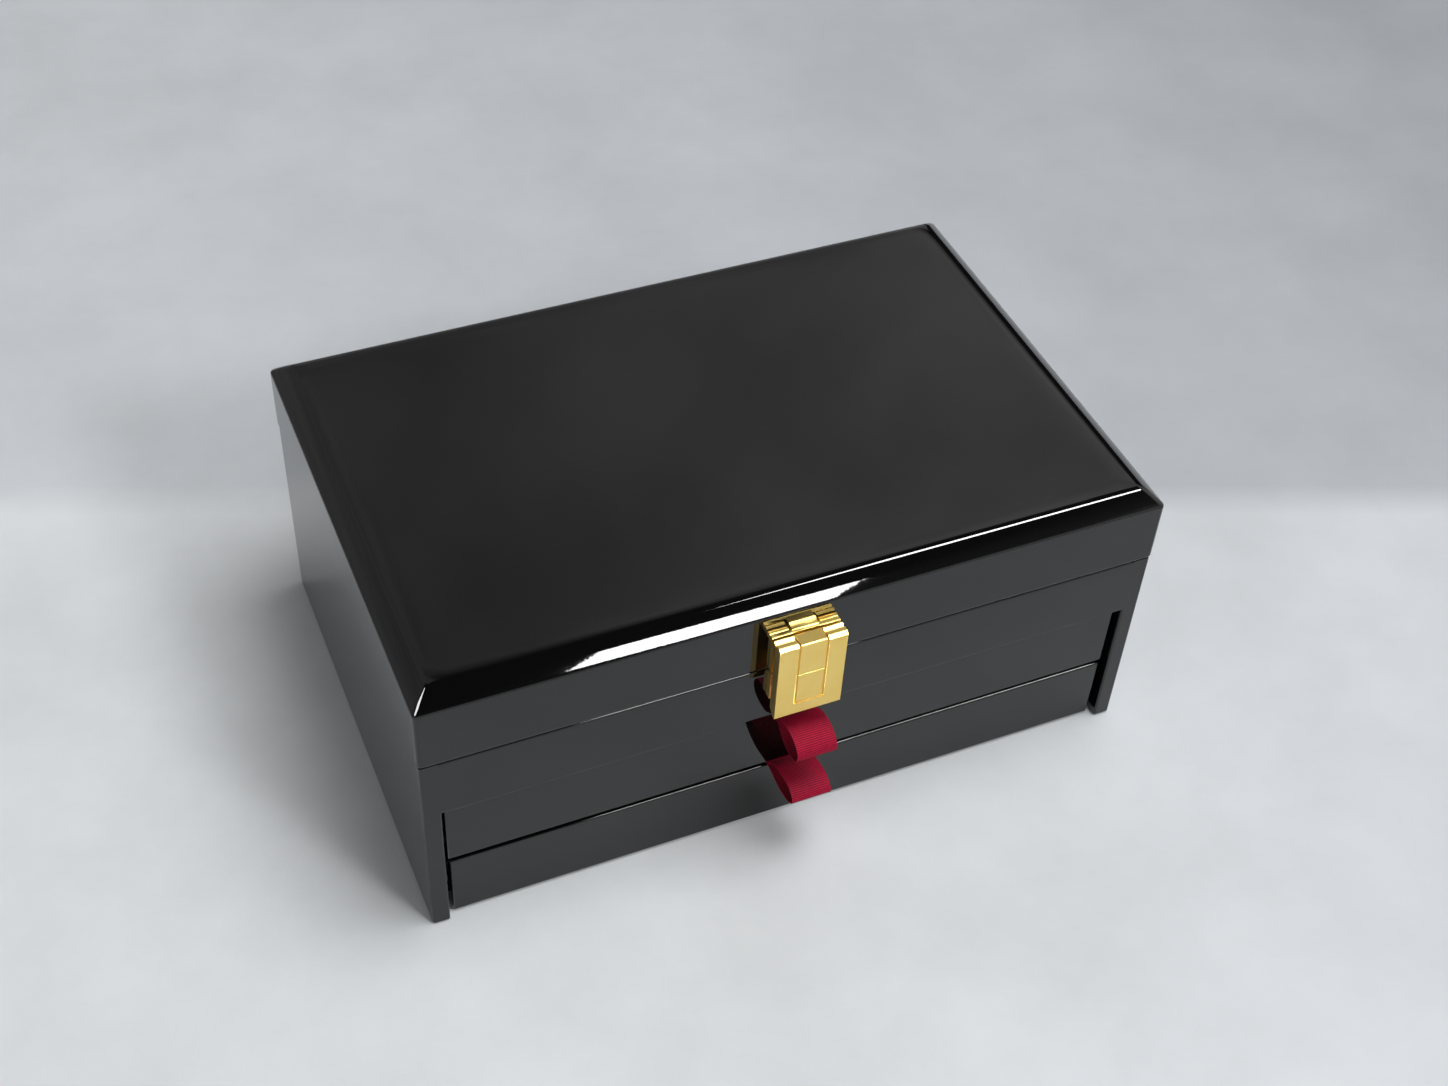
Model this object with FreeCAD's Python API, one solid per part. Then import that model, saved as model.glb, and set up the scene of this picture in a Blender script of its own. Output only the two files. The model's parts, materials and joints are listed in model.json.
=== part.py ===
import FreeCAD, Part
import math
import os

V = FreeCAD.Vector

# A lacquered jewelry box with a hinged lid, a clasp and two drawers. X runs along the front, the
# front faces -Y, Z is up. The origin is on the floor, under the middle of the box. Millimetres.

# Overall size
lid_width = 300.0
lid_depth = 196.0
total_height = 128.0
body_height = 93.5
lid_overhang = 0.5
seam_gap = 0.2
wall = 7.0

# Lid shell
bevel_drop = 6.4
bevel_inset = 7.3
lid_panel_thickness = 10.0
lid_corner_radius = 2.0
arris_radius = 1.0
seam_radius = 1.5
post_radius = 0.8
foot_radius = 1.2

# Lid inside
lining_board_thickness = 1.5
mirror_thickness = 3.0
frame_side_width = 23.0
frame_front_width = 16.0
mirror_lip = 3.8
frame_lip_thickness = 1.2
side_lining_thickness = 0.8
lining_reveal = 1.3
fit_gap = 0.2

# Carcass boards
top_rail_height = 28.0
compartment_floor_thickness = 4.0
shelf_thickness = 3.0
bottom_board_thickness = 5.0
bottom_board_height = 2.0
felt_thickness = 2.0

# Drawer fronts
front_thickness = 8.0
front_recess = 3.0
front_floor_gap = 0.9
lower_front_height = 30.8
front_seam = 1.6
front_top_gap = 0.5
upper_side_gap = 1.3
lower_side_gap = 2.0
front_radius = 0.9

# Drawer boxes, guides and stops
drawer_side_thickness = 5.0
drawer_back_thickness = 5.0
drawer_bottom_thickness = 3.0
drawer_headroom = 2.0
running_gap = 0.3
board_setback = 1.7
shelf_drop = 0.5
guide_thickness = 2.0
guide_height = 8.0
guide_lift = 4.0
guide_setback = 2.5
stop_length = 6.2
stop_width = 12.0
stop_height = 8.0
stop_inset = 42.5
drawer_lining_thickness = 1.2
lining_top_gap = 1.5
tail_space = 1.5
drawer_divider_thickness = 3.0
drawer_divider_drop = 3.0
drawer_columns = 4

# Top compartment
floor_lining_thickness = 1.5
wall_lining_thickness = 1.0
wall_lining_drop = 2.0
tray_divider_thickness = 3.0
tray_divider_height = 17.0
ring_zone_width = 112.0
ring_roll_count = 8
ring_roll_gap = 0.6
ring_roll_height = 16.0
ring_roll_end_gap = 0.5

# Lid hinges
hinge_inset = 55.0
hinge_length = 38.0
hinge_leaf_thickness = 1.15
hinge_leaf_width = 6.0
knuckle_count = 5
knuckle_gap = 0.2
barrel_radius = 2.2
barrel_gap = 0.1
pin_radius = 1.0
pin_clearance = 0.05
pin_head_radius = 1.7
pin_head_height = 0.8
screw_radius = 1.1
screw_head_radius = 1.8
screw_head_height = 0.8
screw_length = 8.0
screw_pitch = 12.0

# Clasp, with its depths measured forward from the face of the lid
clasp_x = -4.0
clasp_width = 27.2
clasp_rise = 22.0
clasp_height = 37.1
leaf_width = 23.4
leaf_thickness = 2.2
leaf_end_gap = 0.4
body_leaf_height = 13.7
cap_height = 2.7
cap_depth = 4.4
cap_groove_depth = 0.5
first_groove_at = 0.75
first_groove_width = 0.2
second_groove_at = 2.0
second_groove_width = 0.5
tongue_width = 10.5
tongue_groove = 0.65
block_rise = 1.9
parting_gap = 0.8
flap_back = 7.0
flap_shell_thickness = 2.7
face_plate_thickness = 1.7
rim_bevel_width = 1.2
rim_bevel_drop = 0.9
rim_groove_at = 7.4
rim_groove_width = 0.7
face_bevel_width = 1.15
face_bevel_drop = 1.0
flap_toe = 2.7
recess_depth = 0.7
recess_sill = 5.7
tongue_thickness = 1.3
tongue_proud = 0.35
tongue_length = 16.1
clasp_arris = 0.25
flap_pin_depth = 7.8
flap_pin_drop = 2.4
flap_pin_radius = 0.5
flap_pin_end = 1.0
rim_arris = 0.4
lug_radius = 0.9
lug_arm = 1.3
lug_width = 9.0
lug_reach = 5.0
lug_clearance = 0.15
boss_width = 14.0
boss_height = 7.5
boss_gap = 0.3
boss_drop = 6.0
magnet_radius = 3.0
magnet_thickness = 2.0
keeper_radius = 3.5
keeper_thickness = 1.2
clasp_screw_radius = 0.8
clasp_screw_head_radius = 1.5
clasp_screw_head_height = 0.7
clasp_screw_length = 6.2
lid_screw_spacing = 14.0
lid_screw_drop = 12.5
body_screw_spacing = 19.0

# Ribbon pulls
ribbon_x = -2.4
ribbon_width = 16.5
ribbon_thickness = 0.5
ribbon_notch_gap = 0.3
ribbon_tail = 11.0
ribbon_projection = 23.3
ribbon_rail_gap = 1.3
upper_loop_rise = 3.9
upper_loop_height = 11.2
lower_loop_rise = 7.3
lower_loop_height = 9.9
staple_wire = 0.4
staple_crown = 8.0
staple_leg = 4.0
staple_drop = 4.0
staple_step = 4.0

# Worked out from the sizes above
body_width = lid_width - 2 * lid_overhang
body_depth = lid_depth - 2 * lid_overhang
lid_bottom = body_height + seam_gap
lid_x = lid_width / 2
lid_y = lid_depth / 2
body_x = body_width / 2
body_y = body_depth / 2
bay_x = body_x - wall
inner_y = body_y - wall
opening_top = body_height - top_rail_height
front_face = -body_y + front_recess
front_back = front_face + front_thickness
lower_front_bottom = front_floor_gap
lower_front_top = lower_front_bottom + lower_front_height
upper_front_bottom = lower_front_top + front_seam
upper_front_top = opening_top - front_top_gap
bottom_board_top = bottom_board_height + bottom_board_thickness
shelf_bottom = lower_front_top - shelf_drop
shelf_top = shelf_bottom + shelf_thickness
compartment_floor_top = opening_top + compartment_floor_thickness
board_front = front_back + board_setback
drawer_x = bay_x - guide_thickness - running_gap
drawer_back_y = inner_y - stop_length - running_gap
tray_floor = compartment_floor_top + floor_lining_thickness
panel_bottom = total_height - lid_panel_thickness
lid_inner_x = lid_x - wall
lid_inner_y = lid_y - wall
lining_board_bottom = panel_bottom - lining_board_thickness
frame_bottom = lining_board_bottom - mirror_thickness - frame_lip_thickness
axis_y = lid_y + barrel_radius + barrel_gap
axis_z = body_height + seam_gap / 2
lid_face = -lid_y
clasp_top = body_height + clasp_rise
clasp_bottom = clasp_top - clasp_height
boss_centre = body_height - boss_drop
tongue_foot = clasp_top - tongue_length
hinge_x = lid_x - hinge_inset
stop_x = bay_x - stop_inset
mirror_width = 2 * (lid_inner_x - frame_side_width)
mirror_height = 2 * (lid_inner_y - frame_front_width)
lower_box_bottom = bottom_board_top + running_gap
upper_box_bottom = shelf_top + running_gap
lower_box_top = shelf_bottom - drawer_headroom
upper_box_top = opening_top - drawer_headroom


def box(x0, x1, y0, y1, z0, z1):
    return Part.makeBox(x1 - x0, y1 - y0, z1 - z0, V(x0, y0, z0))


def ring(half_x, half_y, thickness, z0, z1):
    outer = box(-half_x, half_x, -half_y, half_y, z0, z1)
    inner_x = half_x - thickness
    inner_y_half = half_y - thickness
    return outer.cut(box(-inner_x, inner_x, -inner_y_half, inner_y_half, z0 - 1, z1 + 1))


def round_edges(shape, radius, keep):
    edges = []
    for edge in shape.Edges:
        bound = edge.BoundBox
        if keep(bound):
            edges.append(edge)
    return shape.makeFillet(radius, edges)


def near(value, target):
    return abs(value - target) < 1e-4


def along_x(bound):
    return bound.XLength > 1.5 and bound.YLength < 1e-4 and bound.ZLength < 1e-4


def along_y(bound):
    return bound.YLength > 1.5 and bound.XLength < 1e-4 and bound.ZLength < 1e-4


def along_z(bound):
    return bound.ZLength > 1.5 and bound.XLength < 1e-4 and bound.YLength < 1e-4


def extrude_profile(points, x0, x1):
    # points are (y, z) pairs of a closed outline
    corners = [V(x0, y, z) for y, z in points]
    face = Part.Face(Part.makePolygon(corners + [corners[0]]))
    return face.extrude(V(x1 - x0, 0, 0))


def cylinder_x(radius, x0, x1, y, z):
    return Part.makeCylinder(radius, x1 - x0, V(x0, y, z), V(1, 0, 0))


def group(shapes):
    return Part.makeCompound(shapes)


os.makedirs("parts", exist_ok=True)


def emit(name, shape):
    if not shape.isValid():
        raise ValueError(name + " isn't a valid solid")
    shape.exportStep("parts/" + name + ".step")
    print(name, len(shape.Solids), "solid(s), volume", round(shape.Volume, 1))


# Screws

def countersunk_screw(radius, head_radius, head_height, length, tip, direction):
    # direction points from the head into the wood, and tip is the middle of the head's flat face
    head = Part.makeCone(head_radius, radius, head_height, tip, direction)
    shank = Part.makeCylinder(radius, length, tip, direction)
    return head.fuse(shank).removeSplitter()


def hinge_screws(side, direction):
    screws = []
    y = lid_y - hinge_leaf_width / 2
    for hinge in (-hinge_x, hinge_x):
        for step in (-1, 0, 1):
            x = hinge + step * screw_pitch
            screws.append(countersunk_screw(screw_radius, screw_head_radius, screw_head_height,
                                            screw_length, V(x, y, side), direction))
    return screws


def clasp_screws(spacing, z, face, depth):
    screws = []
    for side in (-1, 1):
        tip = V(clasp_x + side * spacing / 2, face - depth, z)
        screws.append(countersunk_screw(clasp_screw_radius, clasp_screw_head_radius,
                                        clasp_screw_head_height, clasp_screw_length, tip, V(0, 1, 0)))
    return screws


lid_hinge_screws = hinge_screws(lid_bottom, V(0, 0, 1))
body_hinge_screws = hinge_screws(body_height, V(0, 0, -1))
lid_clasp_screws = clasp_screws(lid_screw_spacing, clasp_top - lid_screw_drop, lid_face,
                                leaf_thickness)
body_clasp_screws = clasp_screws(body_screw_spacing, boss_centre, lid_face, leaf_thickness)


# Carcass

def side_panel():
    low = box(bay_x, body_x, -body_y, body_y, 0, opening_top)
    low = round_edges(low, post_radius,
                      lambda b: along_z(b) and near(b.XMin, bay_x) and near(b.YMin, -body_y))
    high = box(bay_x, body_x, -body_y, body_y, opening_top, body_height)
    panel = low.fuse(high).removeSplitter()
    panel = round_edges(panel, arris_radius,
                        lambda b: along_z(b) and near(b.XMax, body_x) or
                        along_y(b) and near(b.XMax, body_x) and near(b.ZMax, body_height))
    return round_edges(panel, foot_radius,
                       lambda b: near(b.ZMax, 0) and (near(b.XMax, body_x) or b.XMax > bay_x + 1e-3))


def back_panel():
    panel = box(-bay_x, bay_x, inner_y, body_y, 0, body_height)
    leaf_y = lid_y - hinge_leaf_width
    for hinge in (-hinge_x, hinge_x):
        half = hinge_length / 2
        panel = panel.cut(box(hinge - half, hinge + half, leaf_y, lid_y,
                              body_height - hinge_leaf_thickness, body_height + 1))
    return panel.cut(group(body_hinge_screws))


def top_rail():
    rail = box(-bay_x, bay_x, -body_y, -inner_y, opening_top, body_height)
    rail = round_edges(rail, arris_radius,
                       lambda b: along_x(b) and near(b.YMin, -body_y) and near(b.ZMin, body_height))
    rail = round_edges(rail, post_radius,
                       lambda b: along_x(b) and near(b.YMin, -body_y) and near(b.ZMin, opening_top))
    return rail.cut(group(body_clasp_screws))


def bay_board(z0, z1):
    return box(-bay_x, bay_x, board_front, inner_y, z0, z1)


def drawer_guides():
    guides = []
    y0 = front_back + guide_setback
    for bottom in (lower_box_bottom, upper_box_bottom):
        z0 = bottom + guide_lift
        guides.append(box(-bay_x, -bay_x + guide_thickness, y0, inner_y, z0, z0 + guide_height))
        guides.append(box(bay_x - guide_thickness, bay_x, y0, inner_y, z0, z0 + guide_height))
    return guides


def drawer_stops():
    stops = []
    half = stop_width / 2
    for floor in (bottom_board_top, shelf_top):
        for x in (-stop_x, stop_x):
            stops.append(box(x - half, x + half, inner_y - stop_length, inner_y,
                             floor, floor + stop_height))
    return stops


right_panel = side_panel()
emit("side_panel_right", right_panel)
emit("side_panel_left", right_panel.mirror(V(0, 0, 0), V(1, 0, 0)))
emit("back_panel", back_panel())
emit("top_rail", top_rail())
emit("compartment_floor", box(-bay_x, bay_x, -inner_y, inner_y, opening_top, compartment_floor_top))
emit("drawer_shelf", bay_board(shelf_bottom, shelf_top))
emit("bottom_board", bay_board(bottom_board_height, bottom_board_top))
emit("base_felt", bay_board(bottom_board_height - felt_thickness, bottom_board_height))
emit("drawer_guides", group(drawer_guides()))
emit("drawer_stops", group(drawer_stops()))


# Top compartment

def ring_rolls():
    # Each roll has a flat foot and a round top, and lies across the left end of the compartment
    rolls = []
    left = -bay_x + wall_lining_thickness + ring_roll_end_gap
    right = tray_divider_x - ring_roll_end_gap
    half_y = inner_y - wall_lining_thickness
    pitch = 2 * half_y / ring_roll_count
    radius = (pitch - ring_roll_gap) / 2
    for index in range(ring_roll_count):
        y = -half_y + (index + 0.5) * pitch
        crown_z = tray_floor + ring_roll_height - radius
        crown = cylinder_x(radius, left, right, y, crown_z)
        foot = box(left, right, y - radius, y + radius, tray_floor, crown_z)
        rolls.append(crown.common(box(left, right, y - radius, y + radius, crown_z,
                                      tray_floor + ring_roll_height + 1)).fuse(foot).removeSplitter())
    return rolls


tray_divider_x = -bay_x + wall_lining_thickness + ring_zone_width
tray_divider_right = tray_divider_x + tray_divider_thickness
tray_right = bay_x - wall_lining_thickness
tray_y = inner_y - wall_lining_thickness
tray_divider_top = tray_floor + tray_divider_height
short_divider_x = (tray_divider_right + tray_right) / 2
half_divider = tray_divider_thickness / 2

emit("floor_lining", box(-bay_x, bay_x, -inner_y, inner_y, compartment_floor_top, tray_floor))
emit("wall_lining", box(-bay_x, bay_x, -inner_y, inner_y, tray_floor, body_height - wall_lining_drop)
     .cut(box(-tray_right, tray_right, -tray_y, tray_y, tray_floor - 1, body_height)))
emit("tray_divider_main", box(tray_divider_x, tray_divider_right, -tray_y, tray_y,
                              tray_floor, tray_divider_top))
emit("tray_divider_cross", box(tray_divider_right, tray_right, -half_divider, half_divider,
                               tray_floor, tray_divider_top))
emit("tray_dividers_short", group([
    box(short_divider_x - half_divider, short_divider_x + half_divider, -tray_y, -half_divider,
        tray_floor, tray_divider_top),
    box(short_divider_x - half_divider, short_divider_x + half_divider, half_divider, tray_y,
        tray_floor, tray_divider_top)]))
emit("ring_rolls", group(ring_rolls()))


# Lid

def rounded_rectangle(half_x, half_y, radius, z):
    # The outline of a flat plate with rounded corners, as a wire at height z
    plate = round_edges(box(-half_x, half_x, -half_y, half_y, z, z + 10), radius, along_z)
    for face in plate.Faces:
        if near(face.BoundBox.ZMax, z):
            return face.OuterWire


def lid_top_panel():
    bevel_z = total_height - bevel_drop
    base = rounded_rectangle(lid_x, lid_y, lid_corner_radius, panel_bottom)
    skirt = Part.Face(base).extrude(V(0, 0, bevel_z - panel_bottom))
    low = rounded_rectangle(lid_x, lid_y, lid_corner_radius, bevel_z)
    high = rounded_rectangle(lid_x - bevel_inset, lid_y - bevel_inset, lid_corner_radius, total_height)
    panel = skirt.fuse(Part.makeLoft([low, high], True, True)).removeSplitter()
    return round_edges(panel, arris_radius,
                       lambda b: b.ZLength < 1e-3 and b.ZMin > panel_bottom + 1)


def lid_ring():
    shell = box(-lid_x, lid_x, -lid_y, lid_y, lid_bottom, panel_bottom)
    shell = round_edges(shell, lid_corner_radius, along_z)
    shell = round_edges(shell, seam_radius, lambda b: near(b.ZMax, lid_bottom))
    hollow = box(-lid_inner_x, lid_inner_x, -lid_inner_y, lid_inner_y, lid_bottom - 1, panel_bottom)
    return shell.cut(hollow)


def mitre_wedge(out, half):
    # The quarter of the ring on one side, bounded by the two mitre planes of its corners
    side = V(-out.y, out.x, 0)
    other = lid_y if half == lid_x else lid_x
    far = half + 5
    near_line = half - wall - 3
    points = []
    for distance, sign in ((far, -1), (far, 1), (near_line, 1), (near_line, -1)):
        across = other + (distance - half)
        points.append(out * distance + side * (sign * across) + V(0, 0, lid_bottom - 1))
    return Part.Face(Part.makePolygon(points + [points[0]])).extrude(V(0, 0, panel_bottom))


def lid_rail(out, half):
    rail = lid_ring().common(mitre_wedge(out, half))
    if out.y > 0:
        leaf_y = lid_y - hinge_leaf_width
        for hinge in (-hinge_x, hinge_x):
            half_leaf = hinge_length / 2
            rail = rail.cut(box(hinge - half_leaf, hinge + half_leaf, leaf_y, lid_y + 1,
                                lid_bottom - 1, lid_bottom + hinge_leaf_thickness))
        rail = rail.cut(group(lid_hinge_screws))
    if out.y < 0:
        rail = rail.cut(group(lid_clasp_screws))
    return rail


def mirror_frame():
    frame = box(-lid_inner_x + fit_gap, lid_inner_x - fit_gap, -lid_inner_y + fit_gap,
                lid_inner_y - fit_gap, frame_bottom, lining_board_bottom)
    rebate_x = mirror_width / 2 + fit_gap
    rebate_y = mirror_height / 2 + fit_gap
    rebate = box(-rebate_x, rebate_x, -rebate_y, rebate_y,
                 lining_board_bottom - mirror_thickness, lining_board_bottom + 1)
    sight_x = mirror_width / 2 - mirror_lip
    sight_y = mirror_height / 2 - mirror_lip
    sight = box(-sight_x, sight_x, -sight_y, sight_y, frame_bottom - 1, lining_board_bottom)
    return frame.cut(rebate).cut(sight)


emit("lid_top_panel", lid_top_panel())
emit("lid_rail_front", lid_rail(V(0, -1, 0), lid_y))
emit("lid_rail_back", lid_rail(V(0, 1, 0), lid_y))
emit("lid_rail_left", lid_rail(V(-1, 0, 0), lid_x))
emit("lid_rail_right", lid_rail(V(1, 0, 0), lid_x))
emit("lid_lining_board", box(-lid_inner_x + fit_gap, lid_inner_x - fit_gap, -lid_inner_y + fit_gap,
                             lid_inner_y - fit_gap, lining_board_bottom, panel_bottom))
emit("lid_side_lining", ring(lid_inner_x, lid_inner_y, side_lining_thickness,
                             lid_bottom + lining_reveal, frame_bottom))
emit("lid_mirror", box(-mirror_width / 2, mirror_width / 2, -mirror_height / 2, mirror_height / 2,
                       lining_board_bottom - mirror_thickness, lining_board_bottom))
emit("lid_mirror_frame", mirror_frame())


# Lid hinges

def knuckles(hinge, first):
    # The barrel pieces of one leaf, every second one from the given index
    pitch = hinge_length / knuckle_count
    spans = []
    for index in range(first, knuckle_count, 2):
        x0 = hinge - hinge_length / 2 + index * pitch
        spans.append((x0 + knuckle_gap / 2, x0 + pitch - knuckle_gap / 2))
    return spans


def hinge_leaf(hinge, first, z0, z1, y_back, screws):
    half = hinge_length / 2
    leaf = box(hinge - half, hinge + half, lid_y - hinge_leaf_width, y_back, z0, z1)
    for x0, x1 in knuckles(hinge, first):
        leaf = leaf.fuse(box(x0, x1, y_back - 1, axis_y, z0, z1))
        leaf = leaf.fuse(cylinder_x(barrel_radius, x0, x1, axis_y, axis_z))
    bore = cylinder_x(pin_radius + pin_clearance, hinge - half - 1, hinge + half + 1, axis_y, axis_z)
    return leaf.cut(bore).cut(group(screws)).removeSplitter()


def hinge_pin(hinge):
    half = hinge_length / 2
    pin = cylinder_x(pin_radius, hinge - half, hinge + half, axis_y, axis_z)
    for x0 in (hinge - half - pin_head_height, hinge + half):
        pin = pin.fuse(cylinder_x(pin_head_radius, x0, x0 + pin_head_height, axis_y, axis_z))
    return pin.removeSplitter()


for side, hinge in (("left", -hinge_x), ("right", hinge_x)):
    emit("hinge_leaf_body_" + side,
         hinge_leaf(hinge, 0, body_height - hinge_leaf_thickness, body_height, body_y,
                    body_hinge_screws))
    emit("hinge_leaf_lid_" + side,
         hinge_leaf(hinge, 1, lid_bottom, lid_bottom + hinge_leaf_thickness, lid_y,
                    lid_hinge_screws))
emit("hinge_pins", group([hinge_pin(-hinge_x), hinge_pin(hinge_x)]))
emit("hinge_screws_body", group(body_hinge_screws))
emit("hinge_screws_lid", group(lid_hinge_screws))


# Clasp. The shapes are drawn as outlines of depth in front of the lid's face and height, and run
# along X about the middle of the clasp.

def clasp_prism(points, half_width):
    outline = [(lid_face - depth, z) for depth, z in points]
    return extrude_profile(outline, clasp_x - half_width, clasp_x + half_width)


def clasp_box(depth0, depth1, z0, z1, half_width):
    return clasp_prism([(depth0, z0), (depth1, z0), (depth1, z1), (depth0, z1)], half_width)


pin_z = clasp_top - flap_pin_drop
face_depth = flap_back + flap_shell_thickness + face_plate_thickness
rim_back = cap_depth + parting_gap
lug_foot = pin_z - lug_reach


def clasp_lid_plate():
    cap_bottom = clasp_top - cap_height
    groove_floor = clasp_top - cap_groove_depth
    leaf_bottom = lid_bottom + leaf_end_gap
    plate = clasp_box(0, leaf_thickness, leaf_bottom, cap_bottom, leaf_width / 2)
    cap = clasp_prism([(0, cap_bottom), (cap_depth, cap_bottom), (cap_depth, clasp_top - clasp_arris),
                       (cap_depth - clasp_arris, clasp_top), (0, clasp_top)], clasp_width / 2)
    for start, width in ((first_groove_at, first_groove_width),
                         (second_groove_at, second_groove_width)):
        cap = cap.cut(clasp_box(start, start + width, groove_floor, clasp_top + 1, clasp_width))
    slot_width = tongue_width / 2 + 1.5 * tongue_groove
    cap = cap.cut(clasp_box(-1, second_groove_at + second_groove_width,
                            clasp_top - cap_height / 2, clasp_top + 1, slot_width))
    block = clasp_prism([(0, cap_bottom), (cap_depth, cap_bottom), (cap_depth, clasp_top),
                         (0, clasp_top + block_rise)], tongue_width / 2)
    plate = plate.fuse(cap).fuse(block)
    half_arm = lug_arm / 2
    arm = clasp_box(0, flap_pin_depth + half_arm, lug_foot, lug_foot + lug_arm, lug_width / 2)
    post = clasp_box(flap_pin_depth - half_arm, flap_pin_depth + half_arm, lug_foot, pin_z,
                     lug_width / 2)
    eye = cylinder_x(lug_radius, clasp_x - lug_width / 2, clasp_x + lug_width / 2,
                     lid_face - flap_pin_depth, pin_z)
    plate = plate.fuse(arm).fuse(post).fuse(eye)
    bore = cylinder_x(flap_pin_radius + pin_clearance, clasp_x - clasp_width, clasp_x + clasp_width,
                      lid_face - flap_pin_depth, pin_z)
    return plate.cut(bore).cut(group(lid_clasp_screws)).removeSplitter()


def clasp_body_plate():
    top = body_height - leaf_end_gap
    inset = lid_overhang
    plate = clasp_box(-inset, leaf_thickness, top - body_leaf_height, top, leaf_width / 2)
    boss_front = flap_back - boss_gap
    boss = clasp_box(0, boss_front, boss_centre - boss_height / 2, boss_centre + boss_height / 2,
                     boss_width / 2)
    plate = plate.fuse(boss).removeSplitter()
    pocket = Part.makeCylinder(magnet_radius, magnet_thickness + 1,
                               V(clasp_x, lid_face - boss_front - 1, boss_centre), V(0, 1, 0))
    return plate.cut(pocket).cut(group(body_clasp_screws))


def clasp_flap_shell():
    shell_front = flap_back + flap_shell_thickness
    rim_bottom = clasp_top - cap_height
    bevel_start = rim_groove_at - rim_bevel_width
    toe_z = clasp_bottom + flap_toe
    outline = [(shell_front, clasp_bottom + clasp_arris), (shell_front, clasp_top),
               (rim_groove_at + rim_groove_width, clasp_top),
               (rim_groove_at + rim_groove_width, clasp_top - rim_bevel_drop - cap_groove_depth),
               (rim_groove_at, clasp_top - rim_bevel_drop - cap_groove_depth),
               (rim_groove_at, clasp_top - rim_bevel_drop), (bevel_start, clasp_top),
               (rim_back + rim_arris, clasp_top), (rim_back, clasp_top - rim_arris),
               (rim_back, rim_bottom), (flap_back, rim_bottom),
               (flap_back, toe_z), (shell_front - clasp_arris, clasp_bottom + clasp_arris)]
    shell = clasp_prism(outline, clasp_width / 2)
    strap_floor = clasp_top - tongue_thickness
    shell = shell.cut(clasp_box(rim_back - 1, flap_pin_depth + lug_radius + lug_clearance,
                                lug_foot - 2 * lug_clearance, strap_floor,
                                lug_width / 2 + lug_clearance))
    shell = shell.cut(clasp_box(0, face_depth, strap_floor, clasp_top + 1, tongue_width / 2))
    shell = shell.cut(clasp_box(bevel_start, face_depth, strap_floor, clasp_top + 1,
                                tongue_width / 2 + tongue_groove))
    bore = cylinder_x(flap_pin_radius + pin_clearance, clasp_x - clasp_width / 2 + flap_pin_end,
                      clasp_x + clasp_width, lid_face - flap_pin_depth, pin_z)
    keeper = Part.makeCylinder(keeper_radius, keeper_thickness + 1,
                               V(clasp_x, lid_face - flap_back - keeper_thickness, boss_centre),
                               V(0, 1, 0))
    return shell.cut(bore).cut(keeper)


def clasp_face_plate():
    back = flap_back + flap_shell_thickness
    outline = [(back, clasp_bottom), (face_depth, clasp_bottom),
               (face_depth, clasp_top - face_bevel_drop), (face_depth - face_bevel_width, clasp_top),
               (back, clasp_top)]
    plate = clasp_prism(outline, clasp_width / 2)
    recess_half = tongue_width / 2 + tongue_groove
    recess_floor = face_depth - recess_depth
    plate = plate.cut(clasp_box(recess_floor, face_depth + 1, clasp_bottom + recess_sill,
                                clasp_top + 1, recess_half))
    plate = plate.cut(clasp_box(0, face_depth + 1, clasp_top - tongue_thickness, clasp_top + 1,
                                recess_half))
    return round_edges(plate, clasp_arris,
                       lambda b: along_z(b) and b.ZLength > recess_sill and
                       near(b.YMin, lid_face - face_depth) or
                       along_x(b) and near(b.YMin, lid_face - face_depth) and
                       near(b.ZMin, clasp_bottom))


def clasp_tongue():
    front = face_depth + tongue_proud
    recess_floor = face_depth - recess_depth
    bevel = face_bevel_drop
    outline = [(rim_back, clasp_top - tongue_thickness), (recess_floor, clasp_top - tongue_thickness),
               (recess_floor, tongue_foot), (front - clasp_arris, tongue_foot),
               (front, tongue_foot + clasp_arris), (front, clasp_top - bevel),
               (front - bevel, clasp_top), (rim_back + rim_arris, clasp_top),
               (rim_back, clasp_top - rim_arris)]
    return clasp_prism(outline, tongue_width / 2)


def disc(radius, thickness, back_depth):
    # A disc in the middle of the clasp, its back face at the given depth
    return Part.makeCylinder(radius, thickness, V(clasp_x, lid_face - back_depth - thickness,
                                                  boss_centre), V(0, 1, 0))


emit("clasp_lid_plate", clasp_lid_plate())
emit("clasp_body_plate", clasp_body_plate())
emit("clasp_flap_shell", clasp_flap_shell())
emit("clasp_face_plate", clasp_face_plate())
emit("clasp_tongue", clasp_tongue())
emit("clasp_hinge_pin", cylinder_x(flap_pin_radius, clasp_x - clasp_width / 2 + flap_pin_end,
                                   clasp_x + clasp_width / 2, lid_face - flap_pin_depth, pin_z))
emit("clasp_magnet", disc(magnet_radius, magnet_thickness, flap_back - boss_gap - magnet_thickness))
emit("clasp_keeper", disc(keeper_radius, keeper_thickness, flap_back))
emit("clasp_lid_screws", group(lid_clasp_screws))
emit("clasp_body_screws", group(body_clasp_screws))


# Ribbon pulls

def ribbon_staples(top):
    staples = []
    crown_y = front_back + 2 * ribbon_thickness
    half = staple_crown / 2
    for step in (0, 1):
        z = top - staple_drop - step * staple_step
        x0 = ribbon_x - half
        x1 = ribbon_x + half
        crown = box(x0, x1, crown_y, crown_y + staple_wire, z, z + staple_wire)
        for leg_x in (x0, x1 - staple_wire):
            leg = box(leg_x, leg_x + staple_wire, front_back - staple_leg, crown_y + staple_wire,
                      z, z + staple_wire)
            crown = crown.fuse(leg)
        staples.append(crown.removeSplitter())
    return staples


def arc(a, b, c):
    return Part.Arc(a, b, c).toShape()


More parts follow.
